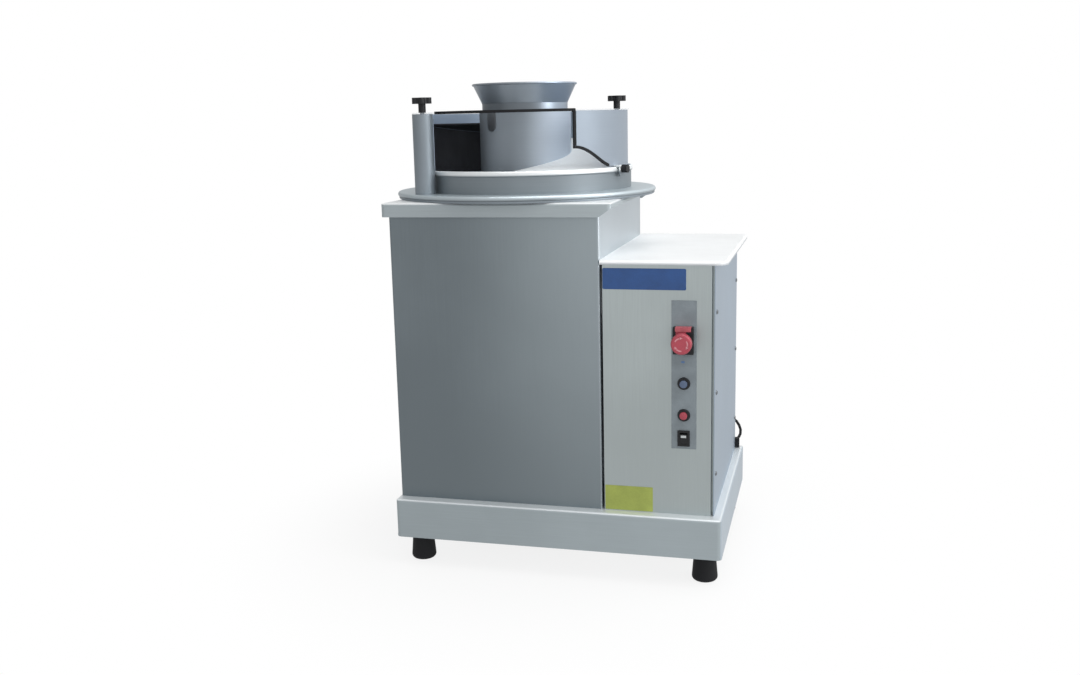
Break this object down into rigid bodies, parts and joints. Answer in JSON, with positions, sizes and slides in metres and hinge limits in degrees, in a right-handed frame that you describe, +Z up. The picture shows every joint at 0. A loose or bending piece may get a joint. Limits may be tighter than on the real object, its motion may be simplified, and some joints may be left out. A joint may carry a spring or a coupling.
{
  "type": "dough rounder",
  "caption": "Floor-standing dough rounder: steel cabinet with a spinning rounding bowl under a lift-off hopper cover, and a side control box with push buttons on rubber feet.",
  "frame": {"origin": "on the floor, below the middle of the machine's bounding box", "axes": "+Z up, -Y to the user at the control panel, +X to the user's right, where the control box stands"},
  "size_m": [0.7864, 0.6129, 1.0707],
  "materials": {
    "satin_steel": "satin brushed sheet",
    "bright_steel": "spun and polished",
    "grey_panel": "matt grey overlay",
    "dark_steel": "plain machined",
    "cast_grey": "painted casting",
    "black_rubber": "matt",
    "black_plastic": "matt moulded",
    "black_coating": "non-stick sheet",
    "clear_sheet": "clear polished sheet",
    "red_plastic": "gloss moulded",
    "blue_plastic": "gloss moulded"
  },
  "bodies": {
    "housing": {"base_pan": "satin_steel", "rubber_feet": "black_rubber", "foot_studs": "dark_steel", "cabinet_wrap": "satin_steel", "cabinet_back": "satin_steel", "top_slab": "satin_steel", "upper_bridge": "dark_steel", "lower_bridge": "dark_steel", "upper_bearing": "cast_grey", "lower_bearing": "cast_grey", "bearing_bolts": "dark_steel", "control_front": "satin_steel", "side_cover": "satin_steel", "side_screws": "dark_steel", "control_back": "satin_steel", "control_top": "satin_steel", "control_strip": "grey_panel", "estop_housing": "black_plastic", "start_bezel": "black_plastic", "stop_bezel": "black_plastic", "rocker_frame": "black_plastic", "contact_blocks": "black_plastic", "electrics_plate": "dark_steel", "contactor": "black_plastic", "terminal_block": "satin_steel", "motor_stand": "dark_steel", "gearbox": "cast_grey", "motor_body": "cast_grey", "fan_cover": "dark_steel", "drive_belt": "black_rubber", "base_disc": "bright_steel", "bowl_ring": "bright_steel", "front_post": "bright_steel", "rear_post": "bright_steel", "service_cable": "black_rubber"},
    "bowl_rotor": {"drive_shaft": "bright_steel", "driven_pulley": "dark_steel", "shaft_collar": "dark_steel", "turntable": "bright_steel", "turntable_nut": "bright_steel"},
    "motor_rotor": {"output_shaft": "bright_steel", "drive_pulley": "dark_steel"},
    "cover": {"guard_wall": "bright_steel", "guard_trim": "black_plastic", "wall_liner": "black_coating", "lid_plate": "clear_sheet", "lid_trim": "black_plastic", "feed_tube": "bright_steel", "hopper": "bright_steel", "tube_clip": "bright_steel", "spiral_track": "bright_steel", "latch_bracket": "bright_steel"},
    "front_knob": {"front_knob": "black_plastic"},
    "rear_knob": {"rear_knob": "black_plastic"},
    "latch_knob": {"latch_knob": "black_plastic"},
    "estop_plunger": {"estop_stem": "black_plastic"},
    "estop_head": {"estop_cap": "red_plastic"},
    "start_button": {"start_button": "blue_plastic"},
    "stop_button": {"stop_button": "red_plastic"},
    "rocker": {"rocker_switch": "black_plastic"}
  },
  "joints": [
    {"name": "turntable_spin", "type": "hinge", "parent": "housing", "child": "bowl_rotor", "pos_m": [-0.09525, 0.00675, 0.854], "axis": [0, 0, 1], "continuous": true},
    {"name": "motor_spin", "type": "hinge", "parent": "housing", "child": "motor_rotor", "pos_m": [0.24925, 0.00675, 0.506], "axis": [0, 0, 1], "continuous": true},
    {"name": "cover_lift", "type": "slide", "parent": "housing", "child": "cover", "axis": [0, 0, 1], "range_m": [0, 0.2]},
    {"name": "front_knob_turn", "type": "hinge", "parent": "cover", "child": "front_knob", "pos_m": [-0.27081, -0.19521, 1.018], "axis": [0, 0, 1], "continuous": true},
    {"name": "rear_knob_turn", "type": "hinge", "parent": "cover", "child": "rear_knob", "pos_m": [0.08031, 0.20871, 1.018], "axis": [0, 0, 1], "continuous": true},
    {"name": "latch_knob_turn", "type": "hinge", "parent": "cover", "child": "latch_knob", "pos_m": [0.14699, -0.06963, 0.879], "axis": [0.9537, -0.3007, 0], "continuous": true},
    {"name": "estop_press", "type": "slide", "parent": "housing", "child": "estop_plunger", "axis": [0, 1, 0], "range_m": [0, 0.005], "stiffness_N_per_m": 600},
    {"name": "estop_twist", "type": "hinge", "parent": "estop_plunger", "child": "estop_head", "pos_m": [0.30525, -0.28225, 0.535], "axis": [0, 1, 0], "range_deg": [0, 30], "stiffness_Nm_per_rad": 0.05},
    {"name": "start_press", "type": "slide", "parent": "housing", "child": "start_button", "axis": [0, 1, 0], "range_m": [0, 0.003], "stiffness_N_per_m": 500},
    {"name": "stop_press", "type": "slide", "parent": "housing", "child": "stop_button", "axis": [0, 1, 0], "range_m": [0, 0.003], "stiffness_N_per_m": 500},
    {"name": "rocker_tilt", "type": "hinge", "parent": "housing", "child": "rocker", "pos_m": [0.30525, -0.25575, 0.325], "axis": [1, 0, 0], "range_deg": [-18, 0]}
  ],
  "couplings": [
    {"joint": "motor_spin", "follows": "turntable_spin", "ratio": 3.2}
  ]
}
